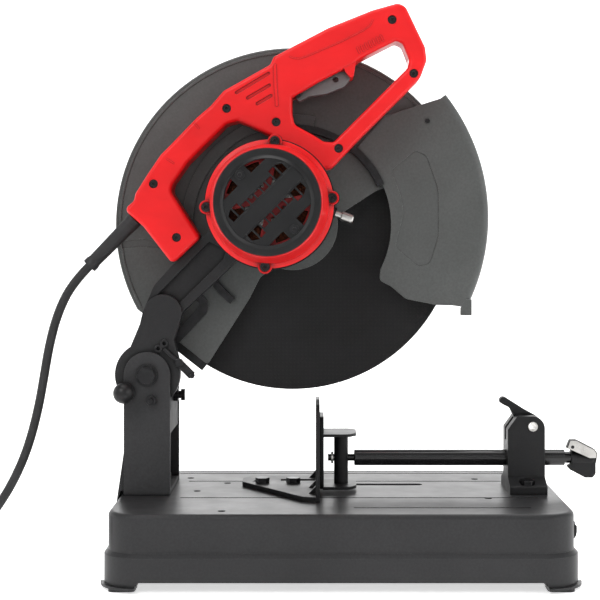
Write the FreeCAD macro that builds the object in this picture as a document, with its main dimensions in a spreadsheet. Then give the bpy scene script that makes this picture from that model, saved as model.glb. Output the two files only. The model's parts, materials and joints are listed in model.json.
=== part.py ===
import FreeCAD, Part
import math
import os
import re

import Sketcher

# An abrasive chop saw, in millimetres. X runs along the base towards the vise crank, Y from the
# motor side to the far side of the wheel, Z up. The origin is on the floor, at the base's centre.

doc = FreeCAD.newDocument("ChopSaw")
sheet = doc.addObject("Spreadsheet::Sheet", "Dims")

DIMENSIONS = {
    # base pan and its feet
    "table_top": 75.2, "table_half_x": 229, "table_half_y": 134, "table_corner": 32,
    "skirt_top": 37.7, "skirt_flare": 4, "skirt_bottom": 10.4, "sheet_steel": 2.5,
    "foot_pad": 3, "foot_long": 34, "lip_out": 3.5, "bench_hole": 4.5, "foot_inset": 20,
    # wheel and head pivot
    "pivot_x": -200, "pivot_z": 200, "pivot_pin": 6, "running_gap": 0.05,
    "wheel_x": -49.8, "wheel_y": 37.5, "wheel_z": 356.5, "wheel_radius": 177.8,
    "wheel_thick": 2.8, "wheel_bore": 12.7, "flange_radius": 35, "spindle_radius": 10,
    "nose_radius": 8, "head_travel": 35,
    # post
    "post_half": 24, "post_near": -30, "post_far": 71, "post_plate": 5, "web_top": 160,
    "stop_y": 20, "stop_z": 174.7,
    "hub_near": -24.5, "hub_far": 65.5, "cheek_back": -12.5, "arm_back": 6,
    # gear train: a ten tooth pinion drives a forty-eight tooth wheel
    "gear_module": 1, "gear_teeth": 48, "pinion_teeth": 10, "gear_spacing": 29.2,
    "gear_angle": 137.5, "gear_front": -8, "gear_back": 4,
    # motor, all turned about the armature axis
    "cup_radius": 58, "cup_wall": 4, "case_flange": 66, "case_front": -74, "cup_floor": -20,
    "spindle_boss": 34, "pinion_boss": 17, "case_hole": 2.5,
    "chamber_front": -14, "chamber_back": 6, "cover_back": 16, "boss_circle": 63,
    "boss_radius": 7, "housing_flange": 64.6, "housing_root": 60, "housing_tip": 52.2,
    "housing_front": -146, "cap_front": -151, "cap_disc": 44, "housing_bore": 47,
    "baffle_front": -142, "baffle_back": -138, "baffle_bore": 8,
    # armature
    "shaft_radius": 6, "stack_radius": 23, "stack_front": -118, "stack_back": -72,
    "field_front": -116, "field_back": -78, "brush_front": -131, "brush_back": -123,
    # guards
    "guard_radius": 189, "guard_near": 16, "guard_far": 59, "guard_sheet": 1.6,
    "guide_inner": 99.5, "guide_outer": 104.6, "hood_radius": 212, "hood_near": 9,
    "hood_far": 66.5, "hood_sheet": 1.5,
    # handle
    "handle_near": -40, "handle_split": -20, "handle_far": 0, "well_half": 9,
    "trigger_half": 7, "trigger_pin": 2,
    # fence
    "fence_face": -20.9, "fence_thick": 4, "fence_top": 175, "fence_plate": 5,
    "slot_half": 5.5,
    # vise
    "vise_y": 9, "vise_z": 109, "rod_radius": 8.5, "neck_radius": 3.7, "jaw_thick": 4.1,
    "bracket_x": 177, "bracket_end": 216, "bracket_top": 154.8, "cross_pin": 5,
    "lever_x": 203.3, "lever_z": 144, "lever_near": 4.4, "lever_far": 13.6,
    "shelf_low": 79, "shelf_high": 134, "shelf_thick": 3,
    # lock pin and mains lead
    "pin_x": -222, "pin_z": 183, "pin_radius": 4, "knob_radius": 10.8,
    "lead_radius": 4.75, "coil_mean": 52.5, "coil_x": -440, "coil_y": 35, "coil_high": 28.5,
}
for row, (alias, value) in enumerate(DIMENSIONS.items(), 1):
    sheet.set(f"A{row}", alias)
    sheet.set(f"B{row}", str(value))
    sheet.setAlias(f"B{row}", alias)
doc.recompute()


class Sizes:
    """The sheet's numbers, read by alias."""

    def __getattr__(self, alias):
        return float(sheet.get(alias))


size = Sizes()
subparts = []

MOTOR_X = size.wheel_x + size.gear_spacing * math.cos(math.radians(size.gear_angle))
MOTOR_Z = size.wheel_z + size.gear_spacing * math.sin(math.radians(size.gear_angle))
WHEEL = (size.wheel_x, size.wheel_z)
MOTOR = (MOTOR_X, MOTOR_Z)
PIVOT = (size.pivot_x, size.pivot_z)


# ---- helpers: outlines ---------------------------------------------------------------------

def polar(centre, radius, degrees):
    """A point at a radius and angle about a centre."""
    angle = math.radians(degrees)
    return (centre[0] + radius * math.cos(angle), centre[1] + radius * math.sin(angle))


def arc(centre, radius, start, end):
    """An arc in an outline, from one angle to another, either way round."""
    return ("arc", centre, radius, start, end)


def circle(centre, radius):
    """A full circle. Its radius may be an alias, which then drives the sketch."""
    return ("circle", centre, radius)


def box(low_x, low_y, high_x, high_y, corner=0):
    """A rectangle with rounded corners."""
    return [(low_x, low_y, corner), (high_x, low_y, corner),
            (high_x, high_y, corner), (low_x, high_y, corner)]


def hexagon(centre, across_flats, turn=0):
    """A hexagon, as on a bolt head."""
    radius = across_flats / math.sqrt(3)
    return [polar(centre, radius, turn + 60 * step) for step in range(6)]


def stadium(start, end, half):
    """A slot with round ends between two points."""
    along = math.degrees(math.atan2(end[1] - start[1], end[0] - start[0]))
    return [arc(start, half, along + 90, along + 270), arc(end, half, along - 90, along + 90)]


def band(centre, inner, outer, start, end):
    """A sector of a ring."""
    return [arc(centre, outer, start, end), arc(centre, inner, end, start)]


def corner_cut(before, at, after, radius):
    """The tangent points and middle point of a rounded corner."""
    here = FreeCAD.Vector(at[0], at[1], 0)
    back = (FreeCAD.Vector(before[0], before[1], 0) - here).normalize()
    ahead = (FreeCAD.Vector(after[0], after[1], 0) - here).normalize()
    half = back.getAngle(ahead) / 2
    reach = radius / math.tan(half)
    middle = (back + ahead).normalize()
    centre = here + middle * (radius / math.sin(half))
    return here + back * reach, centre - middle * radius, here + ahead * reach


def outline_curves(items):
    """Lines and arcs of a closed outline of points, rounded points and arcs."""
    stops = []
    for item in items:
        if item[0] == "arc":
            _, centre, radius, start, end = item
            first, last = polar(centre, radius, start), polar(centre, radius, end)
            middle = polar(centre, radius, (start + end) / 2)
            stops.append((first, first, (first, middle, last)))
            stops.append((last, last, None))
        else:
            stops.append((item[:2], item[:2], item[2] if len(item) > 2 else 0))
    curves = []
    ends = []
    count = len(stops)
    for index, (point, _, extra) in enumerate(stops):
        if isinstance(extra, (int, float)) and extra > 0:
            before = stops[index - 1][0]
            after = stops[(index + 1) % count][0]
            start, middle, end = corner_cut(before, point, after, extra)
            curves.append(Part.Arc(start, middle, end))
            ends.append((start, end))
        else:
            here = FreeCAD.Vector(point[0], point[1], 0)
            ends.append((here, here))
            if isinstance(extra, tuple):
                curves.append(Part.Arc(*[FreeCAD.Vector(p[0], p[1], 0) for p in extra]))
    for index in range(count):
        if isinstance(stops[index][2], tuple):
            continue
        start, end = ends[index][1], ends[(index + 1) % count][0]
        if (end - start).Length > 1e-6:
            curves.append(Part.LineSegment(start, end))
    return curves


# ---- helpers: features ---------------------------------------------------------------------

PLANES = {"X": "YZ_Plane", "Y": "XZ_Plane", "Z": "XY_Plane"}


def bound(text):
    """An expression on the sheet, from a formula of aliases."""
    return re.sub(r"[a-z][a-z_]+", r"Dims.\g<0>", str(text))


def new_body(label):
    """A PartDesign body that is one sub-part."""
    body = doc.addObject("PartDesign::Body", label)
    body.Label = label
    subparts.append(body)
    return body


def new_sketch(body, axis, level, loops):
    """A sketch across an axis, at a level along it."""
    name = f"{body.Name}_sketch{len(body.Group)}"
    sketch = body.newObject("Sketcher::SketchObject", name)
    role = PLANES[axis]
    origin_plane = [item for item in body.Origin.OriginFeatures if item.Role == role][0]
    sketch.AttachmentSupport = [(origin_plane, "")]
    sketch.MapMode = "FlatFace"
    sign = "-" if axis == "Y" else ""
    sketch.setExpression("AttachmentOffset.Base.z", f"{sign}({bound(level)})")
    for loop in loops:
        if loop[0] == "circle":
            _, centre, radius = loop
            value = getattr(size, radius) if isinstance(radius, str) else radius
            middle = FreeCAD.Vector(centre[0], centre[1], 0)
            index = sketch.addGeometry(Part.Circle(middle, FreeCAD.Vector(0, 0, 1), value))
            if isinstance(radius, str):
                sketch.addConstraint(Sketcher.Constraint("Radius", index, value))
                sketch.setExpression(f"Constraints[{sketch.ConstraintCount - 1}]", bound(radius))
        else:
            for curve in outline_curves(loop):
                sketch.addGeometry(curve)
    return sketch


def pad(body, axis, loops, start, end):
    """Material between two levels along an axis."""
    feature = body.newObject("PartDesign::Pad", f"{body.Name}_pad{len(body.Group)}")
    feature.Profile = new_sketch(body, axis, start, loops)
    feature.setExpression("Length", f"({bound(end)}) - ({bound(start)})")
    feature.Reversed = axis == "Y"
    doc.recompute()
    return feature


def cut(body, axis, loops, start, end):
    """A pocket between two levels along an axis. It has to remove something."""
    before = body.Shape.Volume
    feature = body.newObject("PartDesign::Pocket", f"{body.Name}_cut{len(body.Group)}")
    feature.Profile = new_sketch(body, axis, start, loops)
    feature.setExpression("Length", f"({bound(end)}) - ({bound(start)})")
    feature.Reversed = axis != "Y"
    doc.recompute()
    if body.Shape.Volume > before - 0.5:
        raise RuntimeError(f"{body.Label}: a pocket removed nothing")
    return feature


def turn(body, spine, place, profile, kind="PartDesign::Revolution"):
    """A turned shape. About Y the profile is (radius, y); about X it is (x, radius)."""
    feature = body.newObject(kind, f"{body.Name}_turn{len(body.Group)}")
    sketch = new_sketch(body, "Z", place[1], [profile])
    offset = "AttachmentOffset.Base." + ("x" if spine == "Y" else "y")
    sketch.setExpression(offset, bound(place[0]))
    feature.Profile = sketch
    feature.ReferenceAxis = (sketch, ["V_Axis" if spine == "Y" else "H_Axis"])
    feature.Angle = 360
    doc.recompute()
    return feature


def dress(body, kind, amount, chosen):
    """Round or bevel the edges that a test picks."""
    base = body.Tip
    names = [f"Edge{index}" for index, edge in enumerate(base.Shape.Edges, 1) if chosen(edge)]
    feature = body.newObject(f"PartDesign::{kind}", f"{body.Name}_dress{len(body.Group)}")
    feature.Base = (base, names)
    setattr(feature, "Size" if kind == "Chamfer" else "Radius", amount)
    doc.recompute()
    if "Invalid" in feature.State:
        raise RuntimeError(f"{body.Label}: {kind} of {len(names)} edges failed")
    return feature


def level_edges(axis, value, close=0.01):
    """A test for edges that lie in a plane across an axis."""
    def chosen(edge):
        return all(abs(getattr(vertex.Point, axis) - value) < close for vertex in edge.Vertexes)
    return chosen


def tube_profile(inner, outer, near, far):
    """A ring's section, as (radius, y)."""
    return [(inner, near), (outer, near), (outer, far), (inner, far)]


ABOUT_WHEEL = ("wheel_x", "wheel_z")
ABOUT_MOTOR = (MOTOR_X, MOTOR_Z)


# ---- base ----------------------------------------------------------------------------------

FOOT_X = size.table_half_x + size.skirt_flare - size.foot_inset
FOOT_Y = size.table_half_y + size.skirt_flare - size.foot_inset
FEET = [(side * FOOT_X, end * FOOT_Y) for side in (-1, 1) for end in (-1, 1)]


def rim(grow, corner_grow=None):
    """The pan's plan outline, grown or shrunk."""
    half_x, half_y = size.table_half_x + grow, size.table_half_y + grow
    corner = size.table_corner + (grow if corner_grow is None else corner_grow)
    return box(-half_x, -half_y, half_x, half_y, corner)


def make_base_pan():
    body = new_body("base_pan")
    wall = size.sheet_steel
    flare = size.skirt_flare
    pad(body, "Z", [rim(flare)], "foot_pad", "skirt_top")
    outer = level_edges("z", size.skirt_top)
    dress(body, "Chamfer", flare - 0.01, outer)
    pad(body, "Z", [rim(0)], "skirt_top - skirt_flare", "table_top")
    pad(body, "Z", [rim(flare + size.lip_out)], "foot_pad", "foot_pad + sheet_steel")
    dress(body, "Fillet", 5, level_edges("z", size.table_top))
    cut(body, "Z", [rim(flare - wall)], "foot_pad + sheet_steel", "skirt_top - skirt_flare")
    cut(body, "Z", [rim(-wall)], "skirt_top - skirt_flare - 1", "table_top - sheet_steel")
    span_x = size.table_half_x + flare - size.foot_long
    span_y = size.table_half_y + flare - size.foot_long
    low, high = -5, size.skirt_bottom
    side = [(-span_x, low), (span_x, low), (span_x, high, 4), (-span_x, high, 4)]
    cut(body, "Y", [side], "-table_half_y - 20", "table_half_y + 20")
    end = [(-span_y, low), (span_y, low), (span_y, high, 4), (-span_y, high, 4)]
    cut(body, "X", [end], "-table_half_x - 20", "table_half_x + 20")
    slots = [stadium((-60, size.wheel_y), (85, size.wheel_y), size.slot_half)]
    slots += [circle(spot, 4) for spot in ((-164, 79), (-121, 46), (-150, -3), (-117, -114),
                                           (151, 72), (152, -45))]
    slots += [circle(spot, 4) for spot in FENCE_BOLTS + BRACKET_BOLTS + POST_BOLTS]
    cut(body, "Z", slots, "table_top - 2 * sheet_steel", "table_top + 1")
    grooves = ((-97, 14, 187), (-42, -163, 202), (58, -163, 190), (111, -178, 190), (127, -178, 190))
    beads = [stadium((left, level), (right, level), 1.7) for level, left, right in grooves]
    cut(body, "Z", beads, "table_top - 1.6", "table_top + 1")
    cut(body, "Z", [circle(spot, "bench_hole") for spot in FEET], "0", "3 * sheet_steel")


def make_rubber_feet():
    body = new_body("rubber_feet")
    pads = [box(x - 13, y - 13, x + 13, y + 13, 5) for x, y in FEET]
    pad(body, "Z", pads, "0", "foot_pad")
    cut(body, "Z", [circle(spot, "bench_hole") for spot in FEET], "-1", "foot_pad + 1")


FENCE_BOLTS = [(-49, 20), (-82, 20)]
BRACKET_BOLTS = [(196, -18), (196, 36)]
POST_BOLTS = [(-210, -8), (-190, -8), (-210, 50), (-190, 50)]


def make_table_bolts():
    """The M8 bolts that hold the post, fence and vise bracket on the table."""
    body = new_body("table_bolts")
    for spots, seat in ((POST_BOLTS, "table_top + 5"), (FENCE_BOLTS, "table_top + 5"),
                        (BRACKET_BOLTS, "table_top + 8.5")):
        pad(body, "Z", [hexagon(spot, 13) for spot in spots], seat, f"{seat} + 5.5")
        pad(body, "Z", [circle(spot, 4) for spot in spots], "table_top - 8", seat)


def make_post():
    body = new_body("pivot_post")
    left = size.pivot_x - size.post_half
    right = size.pivot_x + size.post_half
    side = [(left, size.table_top), (right, size.table_top), arc(PIVOT, size.post_half, 0, 180)]
    pad(body, "Y", [side], "post_near", "post_near + post_plate")
    pad(body, "Y", [side], "post_far - post_plate", "post_far")
    near, far = size.post_near, size.post_far
    pad(body, "Z", [box(left, near, right, far)], "table_top", "table_top + post_plate")
    pad(body, "X", [box(near, size.table_top, far, size.web_top)], left, left + 4)
    brace = [(near + 1, 138), (far - 1, 138), (far - 1, 190), (-11, 190), (-11, 162, 3),
             (near + 1, 162)]
    pad(body, "X", [brace], right - 5, right - 1)
    pad(body, "Y", [circle((size.pin_x, size.pin_z), 9)], "post_near - 4", "post_near + post_plate")
    shield = [(left + 1, 132), (left - 8.5, 66), (left - 6.5, 66), (left + 1, 118)]
    pad(body, "Y", [shield], -22, 58)
    cheek = [(left + 1, 132), (left - 8.5, 66), (left - 4, 79), (left + 1, 80)]
    pad(body, "Y", [cheek], -24, -22)
    pad(body, "Y", [cheek], 58, 60)
    cut(body, "Y", [circle(PIVOT, "pivot_pin")], "post_near - 1", "post_far + 1")
    cut(body, "Y", [circle((size.pin_x, size.pin_z), size.pin_radius + size.running_gap)],
        "post_near - 5", "post_near + post_plate + 1")
    cut(body, "X", [circle((size.stop_y, size.stop_z), 4)], right - 6, right)
    cut(body, "Z", [circle(spot, 4) for spot in POST_BOLTS], "table_top - 1", "table_top + 6")


def make_pivot_bolt():
    body = new_body("pivot_bolt")
    pad(body, "Y", [circle(PIVOT, "pivot_pin")], "post_near", "post_far + 9")
    pad(body, "Y", [circle(PIVOT, 11)], "post_near - 1.5", "post_near")
    pad(body, "Y", [hexagon(PIVOT, 16)], "post_near - 8", "post_near - 1.5")


def make_pivot_nut():
    body = new_body("pivot_nut")
    pad(body, "Y", [hexagon(PIVOT, 18)], "post_far", "post_far + 8")
    cut(body, "Y", [circle(PIVOT, "pivot_pin")], "post_far - 1", "post_far + 9")


def make_stop_bolt():
    body = new_body("stop_bolt")
    spot = (size.stop_y, size.stop_z)
    pad(body, "X", [circle(spot, 4)], -189, -169)
    pad(body, "X", [hexagon(spot, 12)], -169, -165)
    pad(body, "X", [hexagon(spot, 13)], -177, -172)


def make_fence():
    body = new_body("fence")
    face = size.fence_face
    top, bottom = size.fence_top, size.table_top
    gap_low, gap_high = size.wheel_y - size.slot_half, size.wheel_y + size.slot_half
    near_end, far_end, far_top = -69, 84, top - 21
    near = [(near_end, bottom), (gap_low, bottom), (gap_low, top - 4), (near_end, top - 4, 22)]
    far = [(gap_high, bottom), (far_end, bottom), (far_end, far_top, 18), (gap_high, far_top)]
    pad(body, "X", [near, far], "fence_face - fence_thick", "fence_face")
    wedge = [(face - 1, near_end), (face - 18, near_end + 6, 6), (-104, 27, 8), (-104, 50, 8),
             (-94, 66, 8), (face - 1, 66)]
    pad(body, "Z", [wedge], "table_top", "table_top + fence_plate")
    rib = [(face - 2, bottom + 2), (face - 2, bottom + 15), (face - 14, bottom + 2)]
    for rib_y in (near_end + 22, -12, 52):
        pad(body, "Y", [rib], rib_y, rib_y + 4)
    slot = [(face - 42, gap_low), (face + 1, gap_low), (face + 1, gap_high), (face - 42, gap_high)]
    cut(body, "Z", [slot], "table_top - 1", "table_top + 100")
    cut(body, "Z", [circle(FENCE_BOLTS[0], 4), circle(FENCE_BOLTS[1], 4)],
        "table_top - 1", "table_top + 6")
    arc_slot = band(FENCE_BOLTS[0], 36, 44, 150, 172)
    cut(body, "Z", [arc_slot], "table_top - 1", "table_top + 6")


def make_vise_bracket():
    body = new_body("vise_bracket")
    low, high = size.bracket_x, size.bracket_end
    block = [(low, size.table_top), (high, size.table_top), (high, size.bracket_top, 13),
             (low + 10, size.bracket_top, 3), (low, size.bracket_top - 14, 3)]
    pad(body, "Y", [block], "vise_y - 18.5", "vise_y + 18.5")
    foot = [(-26.5, size.table_top), (44.5, size.table_top), (44.5, 83.7, 2), (27, 91),
            (-9, 91), (-26.5, 83.7, 2)]
    pad(body, "X", [foot], "bracket_x", "bracket_end")
    cut(body, "X", [circle((size.vise_y, size.vise_z), size.rod_radius + size.running_gap)],
        "bracket_x - 1", "bracket_end + 1")
    cut(body, "Y", [box(low - 5, 128, high + 5, 170)], "lever_near - 0.4", "lever_far + 0.4")
    cut(body, "Y", [box(low + 14, 112, low + 30, 140)], "lever_near - 0.4", "lever_far + 0.4")
    cut(body, "Y", [circle((size.lever_x, size.lever_z), "cross_pin")], "-20", "40")
    cut(body, "Z", [circle(spot, 4) for spot in BRACKET_BOLTS], "table_top - 1", "table_top + 30")
    cut(body, "Z", [circle(spot, 8.2) for spot in BRACKET_BOLTS], "table_top + 8.5",
        "table_top + 30")


def make_lever_pin():
    body = new_body("lever_pin")
    pad(body, "Y", [circle((size.lever_x, size.lever_z), "cross_pin")],
        "vise_y - 19.5", "vise_y + 19.5")
    cut(body, "Y", [circle((size.lever_x, size.lever_z), size.cross_pin - 0.8)],
        "vise_y - 20", "vise_y + 20")


# ---- arm and gear case ---------------------------------------------------------------------

LUG = (-184, 264)
CASE_SCREWS = [polar(MOTOR, size.boss_circle, angle) for angle in (85, 5.4, 266, 183)]
LOCK_HOLE = polar(PIVOT, math.hypot(size.pin_x - size.pivot_x, size.pin_z - size.pivot_z),
                  math.degrees(math.atan2(size.pin_z - size.pivot_z, size.pin_x - size.pivot_x))
                  + size.head_travel)


def make_arm():
    body = new_body("arm")
    pad(body, "Y", [circle(PIVOT, 34)], "hub_near", "cheek_back")
    rib = size.cup_radius + 0.05
    channel = [(-214, 228), (-205.6, 264, 20), (-194, 292, 20), (-174, 314.3, 20),
               (-144, 342.6), arc(MOTOR, rib, 198, 240), (-110, 316), (-130, 296.7, 30),
               (-162.4, 266.5, 12), (-174, 246, 20), (-180, 228)]
    pad(body, "Y", [channel], "hub_near + 3", "arm_back")
    panel = [(-192, 268), (-190.3, 282.7, 6), (-136.4, 338.5), (-118, 330), (-121.5, 319.9),
             (-168, 273.5, 6), (-176, 262)]
    cut(body, "Y", [panel], "hub_near + 2", "hub_near + 9")
    lug = [(-224, 214), (-204, 262, 20), arc(LUG, 19.5, 168, -20), (-172.7, 236), (-167, 214)]
    pad(body, "Y", [lug], "hub_near", "cheek_back")
    pad(body, "Y", [circle(PIVOT, 17)], "hub_near", "hub_far")
    cut(body, "Y", [circle(PIVOT, size.pivot_pin + size.running_gap)], "hub_near - 1", "hub_far + 1")
    cut(body, "Y", [circle(LOCK_HOLE, 4.4)], "hub_near - 1", "cheek_back - 1")
    bosses = [(-182.5, 232.7), (-188.8, 227.4)]
    pad(body, "Y", [circle(spot, 4.2) for spot in bosses], "hub_near - 2", "hub_near")
    cut(body, "Y", [circle(spot, 2) for spot in bosses], "hub_near - 3", "hub_near + 6")


def make_gear_case():
    body = new_body("gear_case")
    cup = size.cup_radius
    front, floor = size.case_front, size.cup_floor
    inner = cup - size.cup_wall
    section = [(size.case_flange, front), (size.case_flange, front + 8), (cup, front + 12),
               (cup, size.chamber_front), (0, size.chamber_front), (0, floor), (inner, floor),
               (inner, front)]
    turn(body, "Y", ABOUT_MOTOR, section)
    pad(body, "Y", [circle(WHEEL, size.spindle_boss)], "cup_floor", "chamber_back")
    pad(body, "Y", [circle(MOTOR, size.pinion_boss)], "cup_floor", "chamber_back")
    bosses = [circle(spot, size.boss_radius + 0.8) for spot in CASE_SCREWS]
    pad(body, "Y", bosses, "case_front", "case_front + 16")
    cut(body, "Y", [circle(WHEEL, 29)], "chamber_front", "chamber_back + 1")
    cut(body, "Y", [circle(MOTOR, 13)], "chamber_front", "chamber_back + 1")
    cut(body, "Y", [circle(MOTOR, 11)], "cup_floor - 1", "chamber_front + 1")
    cut(body, "Y", [circle(WHEEL, 9)], "cup_floor + 1", "chamber_front + 1")
    cut(body, "Y", [circle(spot, "case_hole") for spot in CASE_SCREWS],
        "case_front - 1", "case_front + 15")
    cut(body, "Y", [stadium((-32.3, 378.2), (-10.7, 370.4), 4)], -12, -3)


def make_gear_cover():
    body = new_body("gear_cover")
    pad(body, "Y", [circle(WHEEL, size.spindle_boss)], "chamber_back", "chamber_back + 3")
    pad(body, "Y", [circle(MOTOR, size.pinion_boss)], "chamber_back", "chamber_back + 3")
    pad(body, "Y", [circle(WHEEL, size.spindle_boss - 2)], "chamber_back", "cover_back")
    cut(body, "Y", [circle(WHEEL, 15)], "chamber_back - 1", "cover_back + 1")


def ring(label, about_axis, inner, outer, near, far):
    """A plain turned ring about a shaft."""
    body = new_body(label)
    turn(body, "Y", about_axis, tube_profile(inner, outer, near, far))
    return body


def make_lock_bushing(label, inner, outer, start, end):
    """A tube along the spindle lock's own tilted axis, at distances along it."""
    body = new_body(label)
    turn(body, "X", (0, 0), [(start, inner), (end, inner), (end, outer), (start, outer)])
    place_on_lock(body)
    return body


def make_spindle_lock():
    """The pin that stops the spindle: a shank in the bushing and a knurled knob outside."""
    body = new_body("spindle_lock")
    turn(body, "X", (0, 0), [(-2, 0), (-2, 3.5), (25.4, 3.5), (25.4, 4.4), (26.2, 5), (37, 5),
                             (38.5, 4), (38.5, 0)])
    place_on_lock(body)


def place_on_lock(body):
    """Lay a sub-part made along X on the spindle lock's axis."""
    body.Placement = FreeCAD.Placement(FreeCAD.Vector(-22, -7.4, 374.5),
                                       FreeCAD.Rotation(FreeCAD.Vector(0, 1, 0), 20))


def make_motor_housing():
    body = new_body("motor_housing")
    start = size.case_front
    front = size.housing_front
    bore = size.housing_bore
    section = [(bore, start), (size.housing_flange, start), (size.housing_flange, start - 5),
               (size.housing_root, start - 7), (size.housing_tip + 1, front + 3),
               (size.housing_tip, front), (bore, front)]
    turn(body, "Y", ABOUT_MOTOR, section)
    tall = [circle(spot, size.boss_radius) for spot in CASE_SCREWS]
    pad(body, "Y", tall, "case_front - 10", "case_front")
    pad(body, "Y", [circle(MOTOR, size.housing_bore + 2)], "baffle_front", "baffle_back")
    cut(body, "Y", [circle(MOTOR, "baffle_bore")], "baffle_front - 1", "baffle_back + 1")
    windows = [band(MOTOR, 15, 40, start + 12, start + 78) for start in (0, 90, 180, 270)]
    cut(body, "Y", windows, "baffle_front - 1", "baffle_back + 1")
    cut(body, "Y", [circle(spot, "case_hole") for spot in CASE_SCREWS],
        "case_front - 11", "case_front + 1")
    cut(body, "Y", [circle(spot, 5) for spot in CASE_SCREWS], "case_front - 13", "case_front - 8")


CAP_TILT = 45
CAP_SCREWS = [polar(MOTOR, 36.8, CAP_TILT + turned) for turned in (-90, 90)]


def cap_point(along, across):
    """A point on the end cap, along and across its tilted band."""
    tilt = math.radians(CAP_TILT)
    return (MOTOR_X + along * math.cos(tilt) - across * math.sin(tilt),
            MOTOR_Z + along * math.sin(tilt) + across * math.cos(tilt))


def cap_vents():
    """Two rows of nine openings beside the band. The outer ones are taller, within the disc."""
    pitch, bar, near_edge, low_edge, high_edge, reach = 8.2, 1.8, 9, 15.6, 20, 39.5
    vents = []
    for row in (-1, 1):
        for place in range(-4, 5):
            sides = [place * pitch + half * (pitch - bar) / 2 for half in (-1, 1)]
            outer = high_edge if abs(place) > 2 else low_edge
            tops = [min(outer, math.sqrt(max(0, reach ** 2 - side ** 2))) for side in sides]
            corners = [(sides[0], near_edge), (sides[1], near_edge), (sides[1], tops[1]),
                       (sides[0], tops[0])]
            vents.append([cap_point(along, row * across) for along, across in corners])
    return vents


def cap_crescents():
    """Four openings between a chord and the disc's rim, either side of each screw."""
    chord, radius, inner, outer = 30.5, 41.5, 12.5, 42.7
    openings = []
    for screw in (CAP_TILT - 90, CAP_TILT + 90):
        for side in (-1, 1):
            corner = polar(MOTOR, chord / math.cos(math.radians(16.4)), screw + side * 16.4)
            openings.append([arc(MOTOR, radius, screw + side * inner, screw + side * outer), corner])
    return openings


def make_end_cap():
    body = new_body("end_cap")
    front = size.housing_front
    disc = size.cap_disc
    section = [(0, front + 1), (0, size.cap_front), (disc - 2, size.cap_front),
               (disc, size.cap_front + 2), (disc + 1, front - 2), (51.5, front - 1.5),
               (51.5, front), (46.5, front), (46.5, front + 3), (43.5, front + 3),
               (43.5, front + 1)]
    turn(body, "Y", ABOUT_MOTOR, section)
    cut(body, "Y", [circle(MOTOR, disc - 2.4)], "cap_front - 1", "cap_front + 0.8")
    flat = [cap_point(-41, -7.6), cap_point(41, -7.6), cap_point(41, 7.6), cap_point(-41, 7.6)]
    pad(body, "Y", [flat], "cap_front", "cap_front + 1.2")
    cut(body, "Y", cap_vents(), "cap_front - 1", "housing_front + 4")
    cut(body, "Y", cap_crescents(), "cap_front - 1", "housing_front + 4")
    cut(body, "Y", [circle(spot, 2) for spot in CAP_SCREWS], "cap_front - 1", "housing_front + 4")


def make_motor_screws():
    """The housing's four screws and the end cap's two, all with socket heads."""
    body = new_body("motor_screws")
    head = [circle(spot, 4.7) for spot in CASE_SCREWS]
    pad(body, "Y", head, "case_front - 12", "case_front - 8")
    pad(body, "Y", [circle(spot, 2.4) for spot in CASE_SCREWS], "case_front - 8", "case_front + 12")
    pad(body, "Y", [circle(spot, 4.6) for spot in CAP_SCREWS], "cap_front - 1", "cap_front + 0.8")
    pad(body, "Y", [circle(spot, 1.9) for spot in CAP_SCREWS], "cap_front + 0.8", "cap_front + 7")
    cut(body, "Y", [hexagon(spot, 4) for spot in CASE_SCREWS], "case_front - 13", "case_front - 9")
    cut(body, "Y", [hexagon(spot, 3.5) for spot in CAP_SCREWS], "cap_front - 2", "cap_front")


# ---- armature, spindle and gears -----------------------------------------------------------

def gear_outline(centre, teeth, phase, thin):
    """Straight-flanked teeth on a pitch circle. thin narrows them to leave backlash."""
    module = size.gear_module
    pitch = module * teeth / 2
    quarter = 90 / teeth
    points = []
    for tooth in range(teeth):
        middle = phase + 360 * tooth / teeth
        for radius, share in ((pitch - 1.2 * module, -1.35), (pitch + 0.9 * module, -0.42),
                              (pitch + 0.9 * module, 0.42), (pitch - 1.2 * module, 1.35)):
            points.append(polar(centre, radius, middle + share * quarter * thin))
    return points


def make_gears():
    mesh = size.gear_angle
    wheel = new_body("gear_wheel")
    teeth = round(size.gear_teeth)
    pad(wheel, "Y", [gear_outline(WHEEL, teeth, mesh, 0.86)], "gear_front", "gear_back")
    cut(wheel, "Y", [circle(WHEEL, "spindle_radius")], "gear_front - 1", "gear_back + 1")
    pinion = new_body("pinion")
    few = round(size.pinion_teeth)
    outline = gear_outline(MOTOR, few, mesh + 180 + 180 / few, 0.86)
    pad(pinion, "Y", [outline], "gear_front - 1", "gear_back + 1")
    cut(pinion, "Y", [circle(MOTOR, 2.5)], "gear_front - 2", "gear_back + 2")


def make_armature():
    shaft = new_body("armature_shaft")
    turn(shaft, "Y", ABOUT_MOTOR, [(0, -141), (4, -141), (4, -133), (6, -133), (6, -28),
                                   (5, -28), (5, -12), (2.5, -12), (2.5, 5), (0, 5)])
    core = new_body("armature_core")
    pad(core, "Y", [circle(MOTOR, "stack_radius")], "stack_front", "stack_back")
    cut(core, "Y", [circle(MOTOR, "shaft_radius")], "stack_front - 1", "stack_back + 1")
    grooves = [box(MOTOR_X - 1.5, MOTOR_Z + 15, MOTOR_X + 1.5, MOTOR_Z + 25)]
    cut(core, "Y", grooves, "stack_front - 1", "stack_back + 1")
    groove = core.Tip
    fan_out(core, groove, 12)
    commutator = new_body("commutator")
    turn(commutator, "Y", ABOUT_MOTOR, [(6, -132), (13, -132), (13, -122), (16, -121),
                                        (16, -119), (6, -119)])
    fan = new_body("cooling_fan")
    turn(fan, "Y", ABOUT_MOTOR, [(6, -58), (10, -58), (10, -46), (48, -44), (48, -42), (6, -42)])
    pad(fan, "Y", [box(MOTOR_X - 1, MOTOR_Z + 8, MOTOR_X + 1, MOTOR_Z + 46)], -56, -43)
    fan_out(fan, fan.Tip, 11)


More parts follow.
